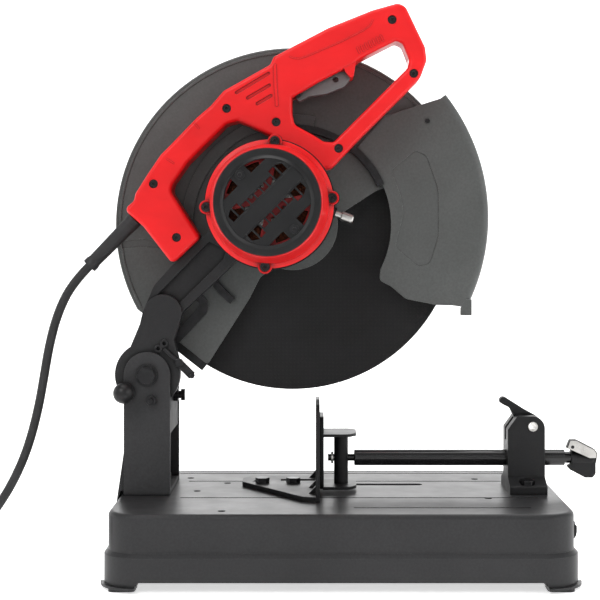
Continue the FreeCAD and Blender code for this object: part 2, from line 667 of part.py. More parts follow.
def fan_out(body, feature, count):
    """Repeat a feature round the armature's axis."""
    axis_sketch = body.newObject("Sketcher::SketchObject", f"{body.Name}_axis")
    role = [item for item in body.Origin.OriginFeatures if item.Role == "XY_Plane"][0]
    axis_sketch.AttachmentSupport = [(role, "")]
    axis_sketch.MapMode = "FlatFace"
    axis_sketch.AttachmentOffset = FreeCAD.Placement(FreeCAD.Vector(MOTOR_X, 0, MOTOR_Z),
                                                     FreeCAD.Rotation())
    pattern = body.newObject("PartDesign::PolarPattern", f"{body.Name}_pattern")
    pattern.Originals = [feature]
    pattern.Axis = (axis_sketch, ["V_Axis"])
    pattern.Angle = 360
    pattern.Occurrences = count
    body.Tip = pattern
    doc.recompute()


def make_motor_inside():
    stator = new_body("stator")
    turn(stator, "Y", ABOUT_MOTOR, tube_profile(size.stack_radius + 1.5, 44, size.field_front,
                                               size.field_back))
    brushes = new_body("brush_holders")
    x, z = MOTOR
    arms = [box(x - 40, z - 4, x - 14, z + 4), box(x + 14, z - 4, x + 40, z + 4)]
    pad(brushes, "Y", arms, "brush_front", "brush_back")
    ring("front_bearing", ABOUT_MOTOR, 5 + size.running_gap, 11, -20, -14)
    ring("rear_bearing", ABOUT_MOTOR, 4 + size.running_gap, 8, -142, -136)


def make_spindle():
    spindle = new_body("spindle")
    y = size.wheel_y
    wide, nose = size.spindle_radius, size.nose_radius
    turn(spindle, "Y", ABOUT_WHEEL, [(0, -18), (6, -18), (6, -9), (wide, -9), (wide, 29),
                                     (nose, 29), (nose, y + 7), (4, y + 7), (4, 24), (0, 24)])
    half = size.wheel_thick / 2
    flange = size.flange_radius
    inner = new_body("inner_flange")
    turn(inner, "Y", ABOUT_WHEEL, [(nose, 29), (18, 29), (flange, 32.5), (flange, y - half),
                                   (size.wheel_bore, y - half), (size.wheel_bore, y + half - 0.3),
                                   (nose, y + half - 0.3)])
    outer = new_body("outer_flange")
    turn(outer, "Y", ABOUT_WHEEL, [(nose, y + half), (flange, y + half), (flange, y + half + 2.5),
                                   (18, y + half + 5.6), (nose, y + half + 5.6)])
    bolt = new_body("arbor_bolt")
    pad(bolt, "Y", [circle(WHEEL, 13)], "wheel_y + 7", "wheel_y + 9")
    pad(bolt, "Y", [hexagon(WHEEL, 14)], "wheel_y + 9", "wheel_y + 15")
    pad(bolt, "Y", [circle(WHEEL, 4)], 25, "wheel_y + 9")
    ring("spindle_bearing", ABOUT_WHEEL, wide + size.running_gap, 15, 6.5, 15.5)
    ring("spindle_bush", ABOUT_WHEEL, 6 + size.running_gap, 9, -19, -14)


def make_abrasive_wheel():
    body = new_body("abrasive_wheel")
    pad(body, "Y", [circle(WHEEL, "wheel_radius")],
        "wheel_y - wheel_thick / 2", "wheel_y + wheel_thick / 2")
    cut(body, "Y", [circle(WHEEL, "wheel_bore")], "wheel_y - 5", "wheel_y + 5")


# ---- guards --------------------------------------------------------------------------------

GUARD_START, GUARD_END = 20.8, 208.4


def guard_outline():
    """The upper guard's side plate: a sector with a bulge over the spindle and a cut rear end."""
    hub = 48.5
    return [arc(WHEEL, size.guard_radius, GUARD_START, GUARD_END), (-140.4, 207.1, 3),
            (-96, 277, 60), (-84, 301, 14), arc(WHEEL, hub, 250, 368), (6, 371, 9), (40, 393, 30)]


def make_upper_guard():
    body = new_body("upper_guard")
    rim_inner = size.guard_radius - size.guard_sheet
    plate = guard_outline()
    pad(body, "Y", [plate], "guard_near", "guard_near + guard_sheet")
    pad(body, "Y", [band(WHEEL, rim_inner, size.guard_radius, GUARD_START, GUARD_END)],
        "guard_near", "guard_far - guard_sheet")
    cut(body, "Y", [circle(WHEEL, 20)], "guard_near - 1", "guard_near + 3")
    edge_level = size.guard_near

    def outside(edge):
        curve = edge.Curve
        return (isinstance(curve, Part.Circle) and abs(curve.Radius - size.guard_radius) < 0.01
                and level_edges("y", edge_level)(edge))
    dress(body, "Fillet", 1.5, outside)
    lip = size.guard_radius - 3.5
    pad(body, "Y", [band(WHEEL, lip - 2.5, lip, GUARD_START, GUARD_END)],
        "guard_near - 0.9", "guard_near")
    pad(body, "Y", [band(WHEEL, 106, 118, 78, 205)], "guard_near - 2", "guard_near")
    joint = [(-232, 331), (-211, 333.5, 40), (-190, 331), (-190, 339), (-211, 341.5, 40),
             (-232, 339)]
    cut(body, "Y", [joint], "guard_near - 1", "guard_near + 0.7")


def make_guard_cover():
    body = new_body("guard_cover")
    pad(body, "Y", [guard_outline()], "guard_far - guard_sheet", "guard_far")


def make_guide_ring():
    body = new_body("guide_ring")
    spans = ((24, 98), (200, 232))
    pad(body, "Y", [band(WHEEL, size.guide_inner, size.guide_outer, low, high)
                    for low, high in spans], "hood_near - 0.5", "guard_near")
    pad(body, "Y", [band(WHEEL, size.guide_inner, size.guide_outer + 2.4, low, high)
                    for low, high in spans], "hood_near - 2", "hood_near - 0.5")


def make_deflector_strap():
    """A bent strap that holds the deflector's back to the arm."""
    body = new_body("deflector_strap")
    outline = [(-160, 286), (-146, 283, 6), (-138.5, 274, 10), (-141, 262, 12), (-168, 233, 8),
               (-184, 222), (-184, 236), (-170, 247, 6), (-149.5, 269, 6), (-148.6, 275, 3),
               (-160, 276)]
    pad(body, "Y", [outline], "arm_back", "arm_back + 4")


def make_spark_deflector():
    body = new_body("spark_deflector")
    along = FreeCAD.Vector(-140.4 + 172, 207.1 - 232, 0).normalize()
    out = FreeCAD.Vector(along.y, -along.x, 0)
    start = FreeCAD.Vector(-176, 235.1, 0)
    finish = FreeCAD.Vector(-141, 207.6, 0)
    inner = [start - out * 12, finish - out * 12, finish + out * 9, start + out * 9]
    pad(body, "Y", [[(point.x, point.y) for point in inner]], 17.8, 19.4)
    lip = [start + out * 9, finish + out * 9, finish + out * 7, start + out * 7]
    pad(body, "Y", [[(point.x, point.y) for point in lip]], 17.8, 57)


HOOD = (-52.3, 364.3)
HOOD_LOW, HOOD_HIGH = -27.4, 38.3


def hood_outline():
    """The front guard's side plate, which swings about the spindle."""
    return [arc(HOOD, size.hood_radius, HOOD_LOW, HOOD_HIGH), (48.3, 472, 6),
            arc(WHEEL, size.guide_outer + 0.5, 50, -27), (43, 297, 5), (55, 291, 5),
            (71, 277.4, 12), (103.7, 271, 12)]


def make_front_guard():
    """A solid rim with a rounded outer corner, a flat side plate and the wall round the wheel."""
    body = new_body("front_guard")
    inner = size.hood_radius - size.hood_sheet
    rim = 9
    rounding = rim - 1
    pad(body, "Y", [band(HOOD, size.hood_radius - rim, size.hood_radius, HOOD_LOW, HOOD_HIGH)],
        "hood_near", size.hood_near + rim)

    def outside(edge):
        curve = edge.Curve
        return (isinstance(curve, Part.Circle) and abs(curve.Radius - size.hood_radius) < 0.01
                and level_edges("y", size.hood_near)(edge))
    dress(body, "Fillet", rounding, outside)
    flat = [arc(HOOD, size.hood_radius - rounding, HOOD_LOW, HOOD_HIGH)] + hood_outline()[1:]
    pad(body, "Y", [flat], "hood_near", "hood_near + hood_sheet")
    pad(body, "Y", [band(HOOD, inner, size.hood_radius, HOOD_LOW, HOOD_HIGH)],
        size.hood_near + rounding, "hood_far - hood_sheet")
    tab = [(129, 267.6), (129, 260, 1), (141, 260, 1), (141, 277), (134, 277)]
    pad(body, "Y", [tab], "hood_near", "hood_near + hood_sheet")
    panel = [(81, 435.5, 6), (55.6, 414.3, 6), (66, 386.6, 12), (68.6, 368, 16), (59.6, 332.8, 8),
             (84, 312, 8), (97, 315, 8), (106, 345, 40), (106, 393, 40), (93, 430, 8)]
    cut(body, "Y", [panel], "hood_near - 1", "hood_near + 0.6")


def make_hood_cover():
    body = new_body("front_guard_cover")
    pad(body, "Y", [hood_outline()], "hood_far - hood_sheet", "hood_far")


def make_hood_rivets():
    body = new_body("front_guard_rivets")
    spots = [(93.9, 466.8)]
    pad(body, "Y", [circle(spot, 2.6) for spot in spots], "hood_near - 1", "hood_near")


# ---- handle --------------------------------------------------------------------------------

HANDLE_SCREWS = [(53.7, 567), (76, 511.7), (-1.4, 434.5), (-65.7, 461.6), (-116.7, 475.6),
                 (-192, 398), (-168.3, 342.8)]
TRIGGER_PIVOT = (-42.6, 490.3)


def handle_outline():
    """The clamshell's outer outline, round the rear grip, the body and the D handle."""
    motor_side = size.cup_radius + 0.1
    return [(60.5, 584.7, 9), (33, 577, 30), (-11.8, 559, 40), (-46.8, 540.7, 20),
            (-68.4, 529, 5), (-72, 521, 5), (-120, 494, 12), (-133, 479, 8), (-148, 466, 20),
            (-175, 438, 20), (-185, 428, 6), (-198.5, 408, 20), (-211, 388, 6), (-212.6, 380.6, 5),
            (-222.6, 371.4, 5), (-202.7, 353.9, 8), (-172.9, 315.4, 5), (-144.2, 342.8, 5),
            (-174.4, 390.5, 10), (-172, 398, 5), (-157, 419.7, 12), (-117, 459.6, 10),
            (-105, 463, 5), (-95, 459, 8), (-70, 447, 5),
            arc(MOTOR, motor_side, 86, 38), (-8.5, 414, 10), (16.5, 440.8, 10), (83, 507.4, 14),
            (89.6, 525.7, 10), (87.9, 539, 12), (68, 580.6, 9)]


def grip_opening():
    """The D handle's finger opening."""
    return [(20.5, 526.7, 3), (58, 545.7, 5), (64.7, 542.4, 6), (71.3, 525.7, 5), (69.7, 517.3, 6),
            (-6.8, 440.8, 6), (-16.8, 441.7, 6), (-28.5, 449, 8), (-46.8, 459, 8), (-49.3, 471, 6),
            (-49.3, 487, 1),
            (-21.8, 503.2, 10), (14, 521.5, 2)]


def trigger_well():
    """The room inside both shells for the trigger's hidden part."""
    return [(-50.5, 482), (-47, 499, 4), (-20, 514, 4), (13, 529, 3), (19, 522), (14, 508),
            (-30, 480)]


def handle_half(label, start, end, inside_start, inside_end, outer_level):
    body = new_body(label)
    pad(body, "Y", [handle_outline()], start, end)
    cut(body, "Y", [grip_opening()], f"{start} - 1", f"{end} + 1")
    dress(body, "Fillet", 4, level_edges("y", outer_level))
    rooms = [
        [(44, 572, 3), (-8, 553, 6), (-46, 533, 6), (-58, 522, 4), (-60, 498, 4), (12, 536, 4),
         (50, 554, 4)],
        [(-60, 518, 4), (-108, 489, 6), (-108, 478, 4), (-76, 463, 4), (-60, 470, 4)],
        [(-127, 476, 3), (-166, 437, 6), (-184, 412, 4), (-180, 400, 3), (-160, 424, 6),
         (-122, 464, 4)],
    ]
    cut(body, "Y", rooms, inside_start, inside_end)
    return body


def strip(points, wide):
    """A narrow closed band along a line of points."""
    there, back = [], []
    for index, (x, z) in enumerate(points):
        before, after = points[max(index - 1, 0)], points[min(index + 1, len(points) - 1)]
        run = (after[0] - before[0], after[1] - before[1])
        long = math.hypot(*run)
        aside = (-run[1] / long * wide / 2, run[0] / long * wide / 2)
        there.append((x + aside[0], z + aside[1]))
        back.insert(0, (x - aside[0], z - aside[1]))
    return there + back


def dress_handle(body):
    """The near shell's slots, ledge, grip inlay line and finger ribs."""
    slots = [stadium((-106.4, 492), (-73.6, 511.6), 1.8), stadium((-94.9, 486.5), (-72.8, 499.4), 1.8),
             stadium((-85, 480.5), (-71.1, 488.7), 1.8)]
    cut(body, "Y", slots, "handle_near - 1", "handle_near + 1.4")
    inlay = [(-52, 529), (-47, 527.2), (-41, 527), (-33.3, 529.7), (-0.5, 543.6), (24.1, 556),
             (31, 561), (34, 567)]
    pad(body, "Y", [strip(inlay, 0.9)], "handle_near - 0.5", "handle_near")
    pad(body, "Y", [strip([(-67, 521), (-66.3, 500), (-64.8, 478)], 2.6)],
        "handle_near - 0.9", "handle_near")
    ribs = [strip([(20.4 + 4 * step, 532.4 + 2.1 * step), (17.6 + 4 * step, 538.6 + 2.1 * step)], 1.5)
            for step in range(7)]
    pad(body, "Y", ribs, "handle_near - 0.7", "handle_near")
    ledges = [strip([(-150.5, 461), (-145, 455)], 1.2), strip([(-178.5, 424), (-171, 419)], 1.2)]
    pad(body, "Y", ledges, "handle_near - 0.5", "handle_near")


def make_handle():
    near = handle_half("handle_near", "handle_near", "handle_split", "handle_near + 3.5",
                       "handle_split + 1", size.handle_near)
    cut(near, "Y", [trigger_well()], "handle_split - well_half", "handle_split + 1")
    cut(near, "Y", [circle(TRIGGER_PIVOT, "trigger_pin")], "handle_split - 14", "handle_split + 1")
    cut(near, "Y", [circle(spot, 2) for spot in HANDLE_SCREWS],
        "handle_near - 1", "handle_split + 1")
    cut(near, "Y", [circle(spot, 4.6) for spot in HANDLE_SCREWS],
        "handle_near - 1", "handle_near + 4")
    nose = [(3, 519), (5.8, 513.4, 1), (11, 507.4, 1), (14.2, 509, 1), (17, 527)]
    pad(near, "Y", [nose], "handle_near + 1.5", "handle_split - well_half")
    dress_handle(near)
    far = handle_half("handle_far", "handle_split", "handle_far", "handle_split - 1",
                      "handle_far - 3.5", size.handle_far)
    cut(far, "Y", [trigger_well()], "handle_split - 1", "handle_split + well_half")
    pad(far, "Y", [nose], "handle_split + well_half", "handle_far - 1.5")
    cut(far, "Y", [circle(TRIGGER_PIVOT, "trigger_pin")], "handle_split - 1", "handle_split + 14")
    cut(far, "Y", [circle(spot, 2) for spot in HANDLE_SCREWS],
        "handle_split - 1", "handle_far - 6")


def make_handle_screws():
    body = new_body("handle_screws")
    pad(body, "Y", [circle(spot, 4.2) for spot in HANDLE_SCREWS],
        "handle_near + 1", "handle_near + 4")
    pad(body, "Y", [circle(spot, 1.95) for spot in HANDLE_SCREWS],
        "handle_near + 4", "handle_far - 6.5")
    cut(body, "Y", [hexagon(spot, 3.6) for spot in HANDLE_SCREWS],
        "handle_near", "handle_near + 3")


def make_trigger():
    body = new_body("trigger")
    blade = [(-46.6, 489.5, 3), (-43, 483.6, 3), (-31.6, 489.6, 6), (-14, 492, 10), (4.6, 499.4, 5),
             (10.6, 506.5, 3), (8.4, 516.5, 3), (-20, 509.5, 6), (-36.8, 499.8, 4)]
    pad(body, "Y", [blade], "handle_split - trigger_half", "handle_split + trigger_half")
    hole = circle(TRIGGER_PIVOT, size.trigger_pin + size.running_gap)
    cut(body, "Y", [hole], "handle_split - well_half", "handle_split + well_half")
    lock_hole = circle((-4.3, 506.6), 3)
    cut(body, "Y", [lock_hole], "handle_split - well_half", "handle_split + well_half")
    pin = new_body("trigger_pin")
    pad(pin, "Y", [circle(TRIGGER_PIVOT, "trigger_pin")], "handle_split - 13", "handle_split + 13")


def make_switch():
    body = new_body("switch_body")
    pad(body, "Y", [[(-30, 517.5), (16, 539.5), (9, 553), (-36, 533)]], -31, -9)


# ---- vise ----------------------------------------------------------------------------------

ABOUT_VISE = ("vise_y", "vise_z")


def make_vise_jaw():
    body = new_body("vise_jaw")
    y = size.vise_y
    face = size.fence_face + 0.3
    plate = box(y - 27, size.shelf_low, y + 22, 155, 5)
    pad(body, "X", [plate], face, "fence_face + 0.3 + jaw_thick")
    back = face + size.jaw_thick
    shelf = [(back - 1, -18), (10, -18, 8), (18, -6, 10), (18, 24, 10), (10, 31), (back - 1, 31)]
    pad(body, "Z", [shelf], "shelf_low", "shelf_low + shelf_thick")
    pad(body, "Z", [shelf], "shelf_high", "shelf_high + shelf_thick")
    pad(body, "Z", [circle((2, y), 7.5)], "shelf_low + shelf_thick", "shelf_high")
    cut(body, "X", [circle((y, size.vise_z), size.neck_radius + size.running_gap)], -8, 12)


def make_vise_screw():
    body = new_body("vise_screw")
    rod, neck = size.rod_radius, size.neck_radius
    turn(body, "X", ABOUT_VISE, [(-12, 0), (-12, neck), (15.8, neck), (15.8, rod - 1),
                                 (16.8, rod), (239, rod), (239, 6), (252, 6), (252, 0)])
    clip = new_body("neck_clip")
    turn(clip, "X", ABOUT_VISE, [(-8.6, neck), (-8.6, 6.5), (-6.4, 6.5), (-6.4, neck)])


def make_vise_crank():
    """A hub on the rod's end with two flat wings, which fold back over the rod like a key."""
    body = new_body("vise_crank")
    y, z = size.vise_y, size.vise_z
    turn(body, "X", ABOUT_VISE, [(246, 6), (246, 8.6), (268, 8.6), (272.8, 6), (272.8, 0),
                                 (252, 0), (252, 6)])
    upper = [(240, z + 11.6), (243.5, z + 20.2, 1), (250.3, z + 20.2, 2), (269.5, z + 10.3, 2),
             (272.6, z + 5.6), (271.5, z), (264.5, z)]
    lower = [(241.4, z - 8.4, 1), (244.6, z - 12.2, 1), (260.5, z - 20.5, 3),
             (268.5, z - 20.5, 3), (271.6, z - 16), (271.6, z), (258, z)]
    pad(body, "Y", [upper], "vise_y - 12", "vise_y - 4")
    pad(body, "Y", [lower], "vise_y - 7", "vise_y + 1")
    cut(body, "Y", [circle((246.2, z + 12.6), 1.7)], "vise_y - 13", "vise_y - 3")
    cut(body, "X", [circle((y, z), 6)], 239, 252)


def make_vise_lever():
    body = new_body("vise_lever")
    x, z = size.lever_x, size.lever_z
    arm = [(x + 9, z - 6, 4), (x + 9, z + 8, 8), (x - 6, z + 16, 8), (172, 176, 4), (169.5, 168, 3),
           (181, 162, 6), (188, 146, 5), (190, 133, 3), (x, z - 9, 6)]
    pad(body, "Y", [arm], "lever_near", "lever_far")
    cut(body, "Y", [circle((x, z), size.cross_pin + size.running_gap)],
        "lever_near - 1", "lever_far + 1")


def make_lock_pin():
    body = new_body("lock_pin")
    tip = size.post_near + size.post_plate
    knob = size.knob_radius
    middle = size.post_near - 5 - knob
    pin = size.pin_radius
    root = middle + math.sqrt(knob ** 2 - 36)
    turn(body, "Y", ("pin_x", "pin_z"), [(0, tip), (pin - 1, tip), (pin, tip - 1), (pin, root),
                                         (6, root), arc((0, middle), knob, 53.8, -90)])


# ---- mains lead ----------------------------------------------------------------------------

LEAD_EXIT = FreeCAD.Vector(-261, -20, 313.2)
BOOT_START = FreeCAD.Vector(-213.6, -20, 361.6)
LEAD_POINTS = [(-261, -20, 313.2), (-280, -20, 293.8), (-295, -20.5, 261.5), (-303.5, -20, 228),
               (-309, -19.5, 194.6), (-315, -20, 161), (-325.5, -20, 122), (-340.5, -19, 88),
               (-358, -18, 60), (-378, -17.5, 34), (-400, -17, 14), (-422, -17.5, 4.8),
               (-445, -17.5, 4.8)]


def round_route(points):
    """Straight runs joined by tangent arcs. Each arc takes 0.45 of its shorter run."""
    stops = [FreeCAD.Vector(*point) for point in points]
    edges = []
    radii = []
    last = stops[0]
    for before, at, after in zip(stops, stops[1:], stops[2:]):
        back, ahead = (before - at), (after - at)
        reach = 0.45 * min(back.Length, ahead.Length)
        back.normalize()
        ahead.normalize()
        turn_angle = math.pi - back.getAngle(ahead)
        radius = reach / math.tan(turn_angle / 2)
        middle = (back + ahead).normalize()
        nearest = at + middle * (radius / math.cos(turn_angle / 2) - radius)
        start, end = at + back * reach, at + ahead * reach
        edges.append(Part.LineSegment(last, start).toShape())
        edges.append(Part.Arc(start, nearest, end).toShape())
        radii.append(radius)
        last = end
    edges.append(Part.LineSegment(last, stops[-1]).toShape())
    return Part.Wire(edges), radii


def make_lead():
    path, radii = round_route(LEAD_POINTS)
    first = (FreeCAD.Vector(*LEAD_POINTS[1]) - FreeCAD.Vector(*LEAD_POINTS[0])).normalize()
    ring_edge = Part.Circle(FreeCAD.Vector(*LEAD_POINTS[0]), first, size.lead_radius).toShape()
    tube = path.makePipeShell([Part.Wire([ring_edge])], True, False)
    lead = doc.addObject("Part::Feature", "cord")
    lead.Shape = tube
    lead.Label = "cord"
    subparts.append(lead)
    section = math.pi * size.lead_radius ** 2
    print("cord radii", [round(radius) for radius in radii], "length", round(path.Length),
          "volume share", round(tube.Volume / (section * path.Length), 4))
    coil = new_body("cord_coil")
    mean, half = size.coil_mean, 2 * size.lead_radius
    low, high = 0.05, size.coil_high
    turn(coil, "Y", ("coil_x", 0), [(mean - half, low), (mean + half, low), (mean + half, high),
                                    (mean - half, high)])
    coil.Placement = FreeCAD.Placement(FreeCAD.Vector(0, size.coil_y, 0),
                                       FreeCAD.Rotation(FreeCAD.Vector(1, 0, 0), 90))


def make_plug():
    body = new_body("plug")
    y = size.coil_y + size.coil_mean
    low = size.coil_high + 0.05
    rear, front = -452, -402
    grip = [(rear, y - 7, 3), (rear + 16, y - 9, 3), (rear + 28, y - 13, 5), (front, y - 13, 3),
            (front, y + 13, 3), (rear + 28, y + 13, 5), (rear + 16, y + 9, 3), (rear, y + 7, 3)]
    pad(body, "Z", [grip], low, low + 20)
    dress(body, "Fillet", 3, lambda edge: level_edges("z", low + 20)(edge))
    blades = new_body("plug_blades")
    flat = [box(front, y - 7.2, front + 18, y - 5.7), box(front, y + 5.7, front + 18, y + 7.2)]
    pad(blades, "Z", flat, low + 4, low + 10.4)
    pad(blades, "X", [circle((y, low + 15), 2.4)], front, front + 21)


def make_strain_relief():
    body = new_body("strain_relief")
    run = LEAD_EXIT - BOOT_START
    long = run.Length
    turn(body, "X", (0, 0), [(0, 0), (0, 8.4), (6, 8.4), (8, 8), (long - 8, 7),
                             (long - 5, 7.9), (long, 7.9), (long, 0)])
    body.Placement = FreeCAD.Placement(BOOT_START, FreeCAD.Rotation(FreeCAD.Vector(1, 0, 0), run))


# ---- build, check and write ----------------------------------------------------------------

make_base_pan()
make_rubber_feet()
make_post()
make_pivot_bolt()
make_pivot_nut()
make_stop_bolt()
make_fence()
make_vise_bracket()
make_table_bolts()
make_lever_pin()
make_arm()
make_gear_case()
make_gear_cover()
make_lock_bushing("lock_bushing", 3.5 + size.running_gap, 6.2, 9, 19)
make_spindle_lock()
make_motor_housing()
make_end_cap()
make_motor_screws()
make_gears()
make_armature()
make_motor_inside()
make_spindle()
make_abrasive_wheel()
make_upper_guard()
make_guard_cover()
make_guide_ring()
make_deflector_strap()
make_spark_deflector()
make_front_guard()
make_hood_cover()
make_hood_rivets()
make_handle()
make_handle_screws()
make_trigger()
make_switch()
make_vise_jaw()
make_vise_screw()
make_vise_crank()
make_vise_lever()
make_lock_pin()
make_strain_relief()
make_lead()
make_plug()
doc.recompute()

for item in doc.Objects:
    if "Invalid" in item.State or "Error" in item.State:
        raise RuntimeError(f"{item.Label} failed: {item.State}")
for item in subparts:
    if item.Shape.isNull() or not item.Shape.isValid():
        raise RuntimeError(f"{item.Label} has no valid shape")
os.makedirs("parts", exist_ok=True)
for item in subparts:
    item.Shape.exportStep(f"parts/{item.Label}.step")
print(len(subparts), "sub-parts written")
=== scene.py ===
import json
import math

import bmesh
import bpy
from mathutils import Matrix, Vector


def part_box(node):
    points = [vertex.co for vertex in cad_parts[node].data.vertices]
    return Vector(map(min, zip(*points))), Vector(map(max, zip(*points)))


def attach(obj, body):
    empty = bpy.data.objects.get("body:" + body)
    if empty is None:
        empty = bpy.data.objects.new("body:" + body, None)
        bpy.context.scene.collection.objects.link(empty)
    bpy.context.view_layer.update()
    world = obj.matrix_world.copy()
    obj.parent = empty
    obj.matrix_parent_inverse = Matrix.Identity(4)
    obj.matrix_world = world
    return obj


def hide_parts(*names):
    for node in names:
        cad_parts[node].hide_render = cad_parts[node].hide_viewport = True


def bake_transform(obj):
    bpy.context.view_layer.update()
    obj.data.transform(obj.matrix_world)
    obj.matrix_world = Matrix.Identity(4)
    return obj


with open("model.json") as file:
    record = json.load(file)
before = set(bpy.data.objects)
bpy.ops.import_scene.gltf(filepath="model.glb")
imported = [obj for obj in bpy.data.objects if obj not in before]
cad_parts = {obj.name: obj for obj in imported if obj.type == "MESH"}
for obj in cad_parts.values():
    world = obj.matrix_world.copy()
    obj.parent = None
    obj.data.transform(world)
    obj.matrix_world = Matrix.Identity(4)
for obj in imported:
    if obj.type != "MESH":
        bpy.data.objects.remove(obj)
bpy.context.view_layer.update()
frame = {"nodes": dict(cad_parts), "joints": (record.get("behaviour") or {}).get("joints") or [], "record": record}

# An abrasive chop saw's looks. Everything is in metres, in the frame of the CAD model: X runs
# along the base towards the vise crank, Y from the motor side to the far side, Z up.

MM = 0.001
NODES = frame["nodes"]
SLOT_OF = {part["node"]: part["material_slot"] for part in frame["record"]["subparts"]}
JOINTS = {joint["name"]: joint for joint in frame["joints"]}


# ---- camera, light and floor -----------------------------------------------------------------

def make_camera():
    """Square on to the motor side and level, shifted so that the base and the handle both fit."""
    data = bpy.data.cameras.new("camera")
    data.lens = 85
    data.sensor_width = 36
    data.shift_x = -0.025
    data.shift_y = -0.0983
    data.clip_end = 30
    camera = bpy.data.objects.new("camera", data)
    camera.location = (-0.0257, -1.4984, 0.3391)
    camera.rotation_euler = (math.radians(90), 0, 0)
    bpy.context.scene.collection.objects.link(camera)
    bpy.context.scene.camera = camera


def area_light(name, at, target, size, watts):
    data = bpy.data.lights.new(name, "AREA")
    data.shape = "RECTANGLE"
    data.size, data.size_y = size
    data.energy = watts
    light = bpy.data.objects.new(name, data)
    light.location = at
    light.rotation_euler = (Vector(target) - Vector(at)).to_track_quat("-Z", "Y").to_euler()
    bpy.context.scene.collection.objects.link(light)


def make_studio():
    """A white bowl: a round floor that sweeps up into a wall all round, under soft boxes."""
    bpy.context.scene.view_settings.view_transform = "Standard"
    world = bpy.data.worlds.new("studio")
    world.use_nodes = True
    world.node_tree.nodes["Background"].inputs["Color"].default_value = (1, 1, 1, 1)
    world.node_tree.nodes["Background"].inputs["Strength"].default_value = 0.3
    bpy.context.scene.world = world
    area_light("key", (-1.3, -2.2, 2.3), (0, 0, 0.25), (1.6, 1.6), 38)
    area_light("fill", (2.4, -1.3, 1.0), (0, 0, 0.25), (0.9, 1.8), 15)
    area_light("top", (0.0, 0.1, 2.2), (0, 0, 0.1), (1.6, 1.2), 20)
    area_light("rear", (0.3, 2.2, 1.3), (0, 0, 0.3), (2.0, 1.2), 24)

    floor_radius, bend, wall_top = 3.2, 1.1, 3.4
    sides, bend_steps, floor_rings = 72, 12, 4
    profile = [(floor_radius * ring / floor_rings, 0.0) for ring in range(1, floor_rings + 1)]
    profile += [(floor_radius + bend * math.sin(turn), bend - bend * math.cos(turn))
                for turn in (math.radians(90 * step / bend_steps)
                             for step in range(1, bend_steps + 1))]
    profile.append((floor_radius + bend, wall_top))
    points = [(0, 0, 0)]
    points += [(radius * math.cos(turn), radius * math.sin(turn), height)
               for radius, height in profile
               for turn in (math.radians(360 * side / sides) for side in range(sides))]
    faces = [(0, 1 + side, 1 + (side + 1) % sides) for side in range(sides)]
    for level in range(len(profile) - 1):
        low, high = 1 + level * sides, 1 + (level + 1) * sides
        faces += [(low + side, high + side, high + (side + 1) % sides, low + (side + 1) % sides)
                  for side in range(sides)]
    mesh = bpy.data.meshes.new("sweep")
    mesh.from_pydata(points, [], faces)
    for face in mesh.polygons:
        face.use_smooth = True
    sweep = bpy.data.objects.new("sweep", mesh)
    bpy.context.scene.collection.objects.link(sweep)
    sweep.data.materials.append(paper())


# ---- materials -------------------------------------------------------------------------------

def linear(red, green, blue):
    """A screen colour, 0 to 255, as linear light."""
    shades = []
    for shade in (red, green, blue):
        value = shade / 255
        shades.append(value / 12.92 if value <= 0.04045 else ((value + 0.055) / 1.055) ** 2.4)
    return (*shades, 1)


